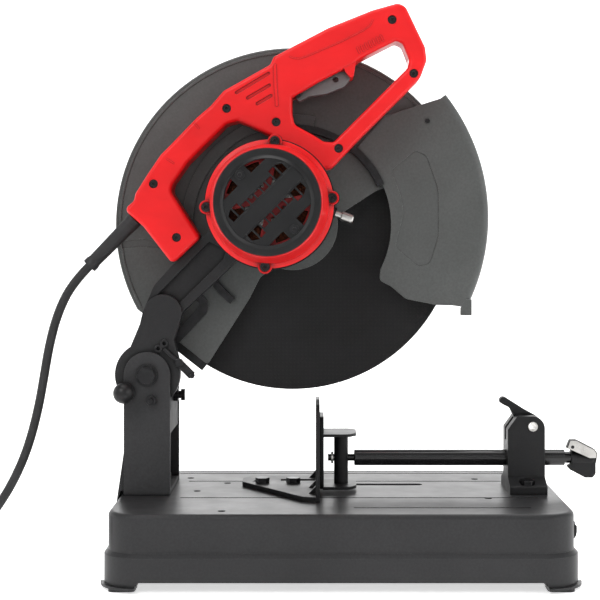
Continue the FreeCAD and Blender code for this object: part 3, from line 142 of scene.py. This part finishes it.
class Paint:
    """A material's node tree, with short ways to add and join its nodes."""

    def __init__(self, name):
        self.material = bpy.data.materials.new(name)
        self.material.use_nodes = True
        self.tree = self.material.node_tree
        self.shader = self.tree.nodes["Principled BSDF"]
        self.place = self.tree.nodes.new("ShaderNodeTexCoord").outputs["Object"]

    def node(self, kind, **settings):
        node = self.tree.nodes.new("ShaderNode" + kind)
        for name, value in settings.items():
            setattr(node, name, value)
        return node

    def join(self, output, target):
        self.tree.links.new(output, target)

    def sockets(self, **values):
        """Fixed numbers on the shader's own sockets."""
        for name, value in values.items():
            self.shader.inputs[name.replace("_", " ").title().replace("Ior", "IOR")
                               .replace("Bsdf", "BSDF")].default_value = value

    def noise(self, scale, detail=3.0, rough=0.55, stretch=None):
        node = self.node("TexNoise")
        node.inputs["Scale"].default_value = scale
        node.inputs["Detail"].default_value = detail
        node.inputs["Roughness"].default_value = rough
        self.join(self.stretched(stretch) if stretch else self.place, node.inputs["Vector"])
        return node.outputs["Fac"]

    def cells(self, scale, feature="F1"):
        node = self.node("TexVoronoi", feature=feature)
        node.inputs["Scale"].default_value = scale
        self.join(self.place, node.inputs["Vector"])
        return node.outputs["Distance"]

    def stretched(self, factors):
        node = self.node("Mapping")
        node.inputs["Scale"].default_value = factors
        self.join(self.place, node.inputs["Vector"])
        return node.outputs["Vector"]

    def ramp(self, fac, *stops):
        """Colours or greys at places along a ramp."""
        node = self.node("ValToRGB")
        elements = node.color_ramp.elements
        while len(elements) < len(stops):
            elements.new(0.5)
        for element, (position, colour) in zip(elements, stops):
            element.position = position
            element.color = colour if isinstance(colour, tuple) else (colour, colour, colour, 1)
        self.join(fac, node.inputs["Fac"])
        return node.outputs["Color"]

    def mix(self, fac, first, second, blend="MIX"):
        node = self.node("Mix", data_type="RGBA", blend_type=blend)
        if isinstance(fac, float):
            node.inputs["Factor"].default_value = fac
        else:
            self.join(fac, node.inputs["Factor"])
        for index, value in ((6, first), (7, second)):
            if isinstance(value, tuple):
                node.inputs[index].default_value = value
            else:
                self.join(value, node.inputs[index])
        return node.outputs[2]

    def edges(self, radius, low=0.03, high=0.35):
        """Painted highlight mask on outer edges, where a softened normal leaves the true one."""
        soft = self.node("Bevel", samples=4)
        soft.inputs["Radius"].default_value = radius
        true = self.node("NewGeometry")
        dot = self.node("VectorMath", operation="DOT_PRODUCT")
        self.join(soft.outputs["Normal"], dot.inputs[0])
        self.join(true.outputs["Normal"], dot.inputs[1])
        return self.ramp(dot.outputs["Value"], (1 - high, 1.0), (1 - low, 0.0))

    def crease_shade(self, body, reach, depth):
        """The body's shade, darkened where a groove or an inner corner shuts light out."""
        node = self.node("AmbientOcclusion", samples=6)
        node.inputs["Distance"].default_value = reach
        return self.mix(1.0, body, self.ramp(node.outputs["AO"], (0.45, depth), (0.92, 1.0)),
                        "MULTIPLY")

    def relief(self, *layers, edge=0.0):
        """Bumps of (pattern, depth) over a normal whose sharp edges are softened."""
        normal = None
        if edge:
            soft = self.node("Bevel", samples=4)
            soft.inputs["Radius"].default_value = edge
            normal = soft.outputs["Normal"]
        for pattern, depth in layers:
            bump = self.node("Bump")
            bump.inputs["Strength"].default_value = 1.0
            bump.inputs["Distance"].default_value = depth
            self.join(pattern, bump.inputs["Height"])
            if normal:
                self.join(normal, bump.inputs["Normal"])
            normal = bump.outputs["Normal"]
        self.join(normal, self.shader.inputs["Normal"])

    def colour(self, output):
        self.join(output, self.shader.inputs["Base Color"])

    def roughness(self, pattern, low, high):
        self.join(self.ramp(pattern, (0.3, low), (0.7, high)), self.shader.inputs["Roughness"])


def paper():
    """White paper that glows by its own emission on its rear half and below the top of the wall."""
    paint = Paint("paper")
    paint.colour(paint.ramp(paint.noise(3), (0.35, (0.91, 0.91, 0.91, 1)),
                            (0.65, (0.93, 0.93, 0.93, 1))))
    paint.roughness(paint.noise(20), 0.72, 0.8)
    axes = paint.node("SeparateXYZ")
    paint.join(paint.place, axes.inputs[0])
    glow = paint.node("Math", operation="MULTIPLY")
    brightness = 0.62
    # dark and lit places along each axis: the glow fades in behind the saw and out up the wall
    fades = ((0, "Y", -0.9, -0.25), (1, "Z", 2.2, 1.5))
    for index, axis, low, high in fades:
        fade = paint.node("MapRange")
        fade.inputs["From Min"].default_value = low
        fade.inputs["From Max"].default_value = high
        paint.join(axes.outputs[axis], fade.inputs["Value"])
        paint.join(fade.outputs["Result"], glow.inputs[index])
    strength = paint.node("Math", operation="MULTIPLY")
    strength.inputs[1].default_value = brightness
    paint.join(glow.outputs[0], strength.inputs[0])
    paint.sockets(emission_color=(1, 1, 1, 1))
    paint.join(strength.outputs[0], paint.shader.inputs["Emission Strength"])
    paint.relief((paint.noise(900), 0.00005))
    return paint.material


def painted_steel(name, dark, light, rough=(0.34, 0.44), gloss=0.2, peel=0.00002, highlight_gain=2.1):
    """Powder coat: mottled tone, orange peel, painted edge highlights, painted shade in creases."""
    paint = Paint(name)
    broad = paint.noise(9, 4)
    fine = paint.noise(420, 2)
    body = paint.ramp(broad, (0.3, dark), (0.7, light))
    speck = paint.ramp(fine, (0.3, 0.82), (0.7, 1.0))
    body = paint.mix(1.0, body, speck, "MULTIPLY")
    # painted highlight: the edges, broken up by noise, take a lighter copy of the paint
    edge_highlight = paint.mix(1.0, paint.edges(0.0009), paint.ramp(paint.noise(130), (0.35, 0.2),
                                                           (0.65, 1.0)), "MULTIPLY")
    highlight_colour = tuple(min(1.0, shade * highlight_gain + 0.02) for shade in light[:3]) + (1,)
    # painted shade: grooves and inner corners darkened by ambient occlusion
    paint.colour(paint.crease_shade(paint.mix(edge_highlight, body, highlight_colour), 0.005, 0.12))
    paint.roughness(paint.noise(34, 5), *rough)
    paint.sockets(specular_ior_level=gloss)
    paint.relief((fine, peel), (paint.noise(30, 1), 0.00003), edge=0.0009)
    return paint.material


def moulded_plastic(name, dark, light, rough=(0.3, 0.42), grain=0.00003, edge=0.0012,
                    specular=0.5):
    """Moulded plastic: spark-eroded grain, flow marks in its tone, rounded edges, painted edge highlights and
    painted shade in creases.
    """
    paint = Paint(name)
    flow = paint.noise(14, 3, stretch=(1, 1, 2.5))
    body = paint.ramp(flow, (0.3, dark), (0.7, light))
    # painted highlight: a lighter copy of the plastic along the edges
    edge_highlight = paint.mix(1.0, paint.edges(edge, 0.05, 0.6), (0.55, 0.55, 0.55, 1), "MULTIPLY")
    highlight_colour = tuple(min(1.0, shade * 1.35 + 0.03) for shade in light[:3]) + (1,)
    # painted shade: grooves and inner corners darkened by ambient occlusion
    paint.colour(paint.crease_shade(paint.mix(edge_highlight, body, highlight_colour), 0.006, 0.25))
    paint.roughness(paint.noise(55, 4), *rough)
    paint.sockets(specular_ior_level=specular)
    paint.relief((paint.cells(1500), grain), edge=edge)
    return paint.material


def machined_steel(name, dark, light, rough=(0.22, 0.4), brushed=(60, 900, 60)):
    """Turned or ground steel: fine lines, a little staining."""
    paint = Paint(name)
    lines = paint.noise(1.0, 2, stretch=brushed)
    stain = paint.noise(45, 5)
    body = paint.ramp(stain, (0.25, dark), (0.6, light))
    paint.colour(paint.mix(0.35, body, paint.ramp(lines, (0.3, dark), (0.7, light))))
    paint.roughness(lines, *rough)
    paint.sockets(metallic=1.0)
    paint.relief((lines, 0.000015), edge=0.0005)
    return paint.material


def black_oxide(name):
    """Blackened steel of screws and bolts, with a painted highlight in patches on its edges."""
    paint = Paint(name)
    body = paint.ramp(paint.noise(160, 4), (0.3, linear(20, 20, 21)), (0.7, linear(40, 40, 42)))
    # painted highlight: light grey in patches along the edges
    edge_highlight = paint.mix(1.0, paint.edges(0.0006), paint.ramp(paint.noise(260), (0.4, 0.0),
                                                           (0.6, 0.8)), "MULTIPLY")
    paint.colour(paint.mix(edge_highlight, body, linear(120, 118, 116)))
    paint.roughness(paint.noise(90, 3), 0.32, 0.5)
    paint.sockets(metallic=0.55)
    paint.relief((paint.noise(900, 2), 0.00002), edge=0.0006)
    return paint.material


def abrasive_disc(name):
    """Resin-bonded grit over a woven glass mesh, which shows as a faint square weave."""
    paint = Paint(name)
    grit = paint.cells(1100)
    mottled = paint.noise(26, 5)
    body = paint.ramp(mottled, (0.3, linear(36, 36, 36)), (0.7, linear(43, 43, 44)))
    sparkle = paint.ramp(grit, (0.0, 1.25), (0.45, 0.9))
    body = paint.mix(1.0, body, sparkle, "MULTIPLY")
    across = paint.node("TexWave", wave_type="BANDS", bands_direction="X")
    up = paint.node("TexWave", wave_type="BANDS", bands_direction="Z")
    for wave in (across, up):
        wave.inputs["Scale"].default_value = 75
        wave.inputs["Distortion"].default_value = 0.6
        paint.join(paint.place, wave.inputs["Vector"])
    weave = paint.mix(1.0, across.outputs["Color"], up.outputs["Color"], "DARKEN")
    paint.colour(paint.mix(paint.ramp(weave, (0.4, 0.0), (1.0, 0.16)), body, linear(58, 58, 56)))
    paint.roughness(mottled, 0.72, 0.9)
    paint.sockets(specular_ior_level=0.15)
    paint.relief((grit, 0.00016), (weave, 0.00008), edge=0.0006)
    return paint.material


def windings(name):
    """Enamelled copper wire laid side by side."""
    paint = Paint(name)
    wave = paint.node("TexWave", wave_type="BANDS", bands_direction="Y")
    wave.inputs["Scale"].default_value = 450
    wave.inputs["Distortion"].default_value = 1.5
    paint.join(paint.place, wave.inputs["Vector"])
    # painted shade: darker in the grooves between wires, in step with the bump
    paint.colour(paint.ramp(wave.outputs["Fac"], (0.1, linear(46, 20, 12)),
                            (0.8, linear(112, 60, 36))))
    paint.roughness(paint.noise(60), 0.25, 0.4)
    paint.sockets(metallic=0.9)
    paint.relief((wave.outputs["Fac"], 0.0001))
    return paint.material


def soft_rubber(name, dark, light, grain=0.00004):
    """Rubber or soft vinyl: matt, dusty, with a fine skin."""
    paint = Paint(name)
    paint.colour(paint.ramp(paint.noise(40, 4), (0.3, dark), (0.7, light)))
    paint.roughness(paint.noise(70, 3), 0.5, 0.66)
    paint.sockets(specular_ior_level=0.4)
    paint.relief((paint.noise(1400, 2), grain), edge=0.0008)
    return paint.material


FINISH = {
    "pan_paint": painted_steel("pan_coat", linear(48, 48, 49), linear(56, 56, 57), (0.31, 0.39),
                               gloss=0.15, highlight_gain=3.2),
    "post_paint": painted_steel("post_coat", linear(53, 53, 54), linear(61, 61, 62),
                                (0.5, 0.62), gloss=0.12, highlight_gain=2.6),
    "cast_paint": painted_steel("cast_coat", linear(31, 31, 32), linear(38, 38, 39),
                                (0.36, 0.48), peel=0.00008),
    "arm_alloy": painted_steel("arm_coat", linear(37, 37, 38), linear(44, 44, 45)),
    "guard_paint": painted_steel("guard_coat", linear(75, 77, 76), linear(86, 88, 87),
                                 (0.28, 0.35), gloss=0.34, highlight_gain=2.8),
    "red_plastic": moulded_plastic("red_shell", linear(216, 16, 20), linear(231, 22, 26),
                                   specular=0.32),
    "black_plastic": moulded_plastic("black_shell", linear(24, 24, 25), linear(32, 32, 33),
                                     specular=0.25),
    "grey_plastic": moulded_plastic("grey_shell", linear(98, 98, 99), linear(114, 114, 114),
                                    specular=0.3),
    "abrasive": abrasive_disc("abrasive"),
    "bright_steel": machined_steel("bright_steel", linear(150, 148, 146), linear(214, 212, 208)),
    "black_steel": black_oxide("black_steel"),
    "copper": windings("windings"),
    "rubber": soft_rubber("rubber", linear(28, 28, 29), linear(39, 39, 40)),
}
# the vise's rod is ground smooth before it is blackened
NODE_FINISH = {"vise_screw": painted_steel("rod_finish", linear(26, 26, 27), linear(32, 32, 33),
                                           (0.16, 0.22), 0.5, 0.000008)}


def finish_nodes():
    """Gives each carried-over node the finish of its slot."""
    for name, node in NODES.items():
        node.data.materials.clear()
        node.data.materials.append(NODE_FINISH.get(name, FINISH[SLOT_OF[name]]))


# ---- the mains lead --------------------------------------------------------------------------

LEAD_RADIUS = 4.75 * MM
# from the boot's mouth, down beside the post and out along the floor
LEAD_ROUTE = [(-261, -20, 313.2), (-280, -20, 293.8), (-295, -20.5, 261.5), (-303.5, -20, 228),
              (-309, -19.5, 194.6), (-315, -20, 161), (-325.5, -20, 122), (-340.5, -19, 88),
              (-358, -18, 60), (-378, -17.5, 34), (-400, -17, 14), (-422, -17.5, 4.8),
              (-445, -17.5, 4.8)]


def coil_turns(lift):
    """The wound length: three layers, the last one and a half turns, which rises to the plug."""
    low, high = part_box("cord_coil")
    middle = (low + high) / 2
    gap = 2 * LEAD_RADIUS + 0.0001
    inner = (high.x - low.x) / 2 - 3 * LEAD_RADIUS
    levels = [low.z + LEAD_RADIUS + layer * gap for layer in range(3)]
    tracks = [(inner, levels[0]), (inner + gap, levels[0]), (inner + gap, levels[1]),
              (inner, levels[1]), (inner, levels[2]), (inner + gap, levels[2])]
    steps, start, rising, last = 16, -95, 81, 86
    points = []
    for count in range(last + 1):
        turn, step = divmod(count, steps)
        track = tracks[turn]
        following = tracks[min(turn + 1, len(tracks) - 1)]
        shift = smooth((step / steps - 0.7) / 0.3)
        angle = math.radians(start - 360 * count / steps)
        radius = track[0] + (following[0] - track[0]) * shift
        height = track[1] + (following[1] - track[1]) * shift
        height += (lift - levels[2]) * smooth((count - rising) / (last - rising))
        points.append((middle.x + radius * math.cos(angle), middle.y + radius * math.sin(angle),
                       height))
    return points


def smooth(part):
    """0 to 1 with a level start and end."""
    part = min(1.0, max(0.0, part))
    return part * part * (3 - 2 * part)


def spline_curve(name, points, bevel=0.0):
    """A smooth curve through a route, thick if bevel says so."""
    data = bpy.data.curves.new(name, "CURVE")
    data.dimensions = "3D"
    data.resolution_u = 6
    data.bevel_depth = bevel
    data.bevel_resolution = 3
    data.use_fill_caps = True
    spline = data.splines.new("NURBS")
    spline.points.add(len(points) - 1)
    for point, at in zip(spline.points, points):
        point.co = (*at, 1)
    spline.order_u = 3
    spline.use_endpoint_u = True
    curve = bpy.data.objects.new(name, data)
    bpy.context.scene.collection.objects.link(curve)
    return curve


def mesh_of(curve):
    """The curve as a mesh of its own, with the curve object left alone."""
    bpy.context.view_layer.update()
    return bpy.data.meshes.new_from_object(
        curve.evaluated_get(bpy.context.evaluated_depsgraph_get()))


def make_lead():
    """The whole lead as one tube, from the boot to the plug's tail."""
    route = [tuple(value * MM for value in point) for point in LEAD_ROUTE]
    plug_low, plug_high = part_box("plug")
    tail = Vector((plug_low.x, (plug_low.y + plug_high.y) / 2, (plug_low.z + plug_high.z) / 2))
    points = route[:-1] + coil_turns(tail.z)
    points += [(tail.x - 12 * MM, tail.y - 1 * MM, tail.z), (tail.x + 3 * MM, tail.y, tail.z)]
    line = spline_curve("lead_line", points)
    path = [tuple(vertex.co) for vertex in mesh_of(line).vertices]
    line.data.bevel_depth = LEAD_RADIUS
    lead = bpy.data.objects.new("mains_lead", mesh_of(line))
    bpy.context.scene.collection.objects.link(lead)
    bpy.data.objects.remove(line)
    for face in lead.data.polygons:
        face.use_smooth = True
    lead.data.materials.clear()
    lead.data.materials.append(FINISH["rubber"])
    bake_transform(lead)
    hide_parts("cord", "cord_coil")


# ---- small pieces that the frame leaves to this file --------------------------------------------

PIVOT = Vector(JOINTS["head_pivot"]["pos_m"])


def shown(name, mesh, slot, body, soften=0.0):
    """A piece of that mesh with rounded edges and its slot's finish, riding on a body."""
    piece = bpy.data.objects.new(name, mesh)
    bpy.context.scene.collection.objects.link(piece)
    if soften:
        bevel = piece.modifiers.new("soften", "BEVEL")
        bevel.width = soften
        bevel.segments = 2
        bevel.limit_method = "ANGLE"
        rounded = mesh_of(piece)
        piece.modifiers.clear()
        piece.data = rounded
    piece.data.materials.append(FINISH[slot])
    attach(piece, body)


def closed_mesh(points, faces, smooth_faces=False):
    """A closed mesh whose faces all look outward; its four-sided faces can be smooth."""
    mesh = bpy.data.meshes.new("piece")
    mesh.from_pydata(points, [], faces)
    made = bmesh.new()
    made.from_mesh(mesh)
    bmesh.ops.recalc_face_normals(made, faces=made.faces)
    made.to_mesh(mesh)
    made.free()
    for face in mesh.polygons:
        face.use_smooth = smooth_faces and len(face.vertices) == 4
    return mesh


def plate(outline, near, far):
    """A flat piece with that outline in X and Z, from one Y to another."""
    count = len(outline)
    points = [(x, y, z) for y in (near, far) for x, z in outline]
    faces = [tuple(range(count)), tuple(range(count, 2 * count))]
    faces += [(i, i + count, (i + 1) % count + count, (i + 1) % count) for i in range(count)]
    return closed_mesh(points, faces)


def turned(x, z, profile, steps=40):
    """A piece turned about a line along Y, from (Y, radius) pairs. Its ends are closed."""
    points = [(x + radius * math.cos(turn), y, z + radius * math.sin(turn))
              for y, radius in profile
              for turn in (math.radians(360 * step / steps) for step in range(steps))]
    last = (len(profile) - 1) * steps
    faces = [tuple(range(steps)), tuple(range(last, last + steps))]
    for level in range(len(profile) - 1):
        low = level * steps
        faces += [(low + i, low + steps + i, low + steps + (i + 1) % steps, low + (i + 1) % steps)
                  for i in range(steps)]
    return closed_mesh(points, faces, True)


def joined(*meshes):
    """Several meshes as one."""
    made = bmesh.new()
    for mesh in meshes:
        made.from_mesh(mesh)
    whole = bpy.data.meshes.new("joined")
    made.to_mesh(whole)
    made.free()
    return whole


def hexagon(x, z, across, turned_by=12):
    """A hexagon's corners, from its width across the flats."""
    radius = across / math.sqrt(3)
    corners = [math.radians(60 * corner + turned_by) for corner in range(6)]
    return [(x + radius * math.cos(angle), z + radius * math.sin(angle)) for angle in corners]


def bar(start, end, width):
    """The outline of a straight bar between two points in X and Z."""
    start, end = Vector(start), Vector(end)
    side = Vector((start.y - end.y, end.x - start.x)).normalized() * width / 2
    return [tuple(start + side), tuple(end + side), tuple(end - side), tuple(start - side)]


def make_stop_nut():
    """The nut and thread end of the head stop, on the post's near plate."""
    x, z = PIVOT.x + 5 * MM, PIVOT.z - 26 * MM
    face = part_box("pivot_post")[0].y
    nut = plate(hexagon(x, z, 10 * MM), face - 3.5 * MM, face + 0.5 * MM)
    crest, root, pitch = 2.9 * MM, 2.4 * MM, 0.8 * MM
    thread = [(face - 6 * MM, 2.2 * MM)]
    for turn in range(4):
        start = face - 5.6 * MM + turn * pitch
        thread += [(start, crest), (start + pitch / 2, root)]
    thread.append((face + 0.5 * MM, root))
    shown("stop_nut", nut, "black_steel", "base", 0.4 * MM)
    shown("stop_thread", turned(x, z, thread, 20), "black_steel", "base")


def make_deflector_link():
    """The jointed rod from the arm's two bosses down to the spark deflector."""
    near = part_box("arm")[0].y
    top = (PIVOT.x + 17.5 * MM, PIVOT.z + 27.5 * MM)
    knuckle = (PIVOT.x + 33 * MM, PIVOT.z + 12.5 * MM)
    foot = (PIVOT.x + 46.6 * MM, PIVOT.z - 1 * MM)
    rod = plate(bar(top, knuckle, 4 * MM), near - 1.5 * MM, near + 2 * MM)
    sleeve = plate(bar(knuckle, foot, 8 * MM), near - 2 * MM, near + 4 * MM)
    eye = turned(*knuckle, [(near - 4 * MM, 3.4 * MM), (near - 3.4 * MM, 4.4 * MM),
                            (near + 3.4 * MM, 4.4 * MM), (near + 4 * MM, 3.4 * MM)], 28)
    pin = turned(*foot, [(near - 4 * MM, 2 * MM), (near - 3.4 * MM, 2.6 * MM),
                         (near + 5 * MM, 2.6 * MM)], 24)
    shown("deflector_link", joined(rod, sleeve, eye, pin), "black_steel", "head", 0.5 * MM)


def make_return_spring():
    """The torsion spring that lifts the head, wound round the pivot between the post's plates."""
    wire, radius, turns, steps = 1.7 * MM, 20.5 * MM, 7, 16
    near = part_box("pivot_post")[0].y + 44 * MM
    pitch = 2 * wire + 0.5 * MM
    points = [(PIVOT.x - 20 * MM, near, PIVOT.z - 34 * MM)]
    for count in range(turns * steps + 1):
        turn = math.radians(180 - 360 * count / steps)
        points.append((PIVOT.x + radius * math.cos(turn), near + pitch * count / steps,
                       PIVOT.z + radius * math.sin(turn)))
    points.append((PIVOT.x - 20 * MM, near + pitch * turns, PIVOT.z - 30 * MM))
    line = spline_curve("spring_line", points, wire)
    mesh = mesh_of(line)
    bpy.data.objects.remove(line)
    for face in mesh.polygons:
        face.use_smooth = True
    mesh.materials.clear()
    shown("return_spring", mesh, "black_steel", "base")


def make_wrench_clip():
    """The spring clip on the base's end, which holds the wheel wrench."""
    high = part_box("base_pan")[1]
    wall = high.x - 8.5 * MM
    middle, y = 54 * MM, -100 * MM
    half = 9.5 * MM
    outline = [(wall, middle - half), (wall + 2.4 * MM, middle - half + 1 * MM),
               (wall + 4.2 * MM, middle - 6 * MM), (wall + 5 * MM, middle - 2 * MM),
               (wall + 5 * MM, middle + 4 * MM), (wall + 3 * MM, middle + 5 * MM),
               (wall + 3 * MM, middle + 8 * MM), (wall + 1.6 * MM, middle + half),
               (wall, middle + half)]
    shown("wrench_clip", plate(outline, y, y + 10 * MM), "black_steel", "base", 0.5 * MM)


def make_crank_reflection():
    """A bright steel face on the crank's upper wing: a painted reflection of light from above, with the rivet that
    holds it.
    """
    low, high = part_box("vise_crank")
    outline = [(high.x - 32 * MM, high.z - 8.8 * MM), (high.x - 29 * MM, high.z - 0.8 * MM),
               (high.x - 22.6 * MM, high.z - 0.8 * MM), (high.x - 4 * MM, high.z - 10.4 * MM),
               (high.x - 1.2 * MM, high.z - 14.8 * MM), (high.x - 2 * MM, high.z - 19 * MM),
               (high.x - 8.4 * MM, high.z - 19.2 * MM)]
    # painted reflection: a thin bright plate over the wing's black face
    shown("crank_reflection_plate", plate(outline, low.y - 0.6 * MM, low.y), "bright_steel", "vise_screw",
          0.25 * MM)
    rivet = [(low.y - 1.4 * MM, 0.8 * MM), (low.y - 1.2 * MM, 1.4 * MM),
             (low.y - 0.6 * MM, 1.8 * MM), (low.y, 1.8 * MM)]
    shown("crank_rivet", turned(high.x - 26.6 * MM, high.z - 7.6 * MM, rivet, 24), "black_steel",
          "vise_screw")


make_camera()
make_studio()
finish_nodes()
make_lead()
make_stop_nut()
make_deflector_link()
make_return_spring()
make_wrench_clip()
make_crank_reflection()
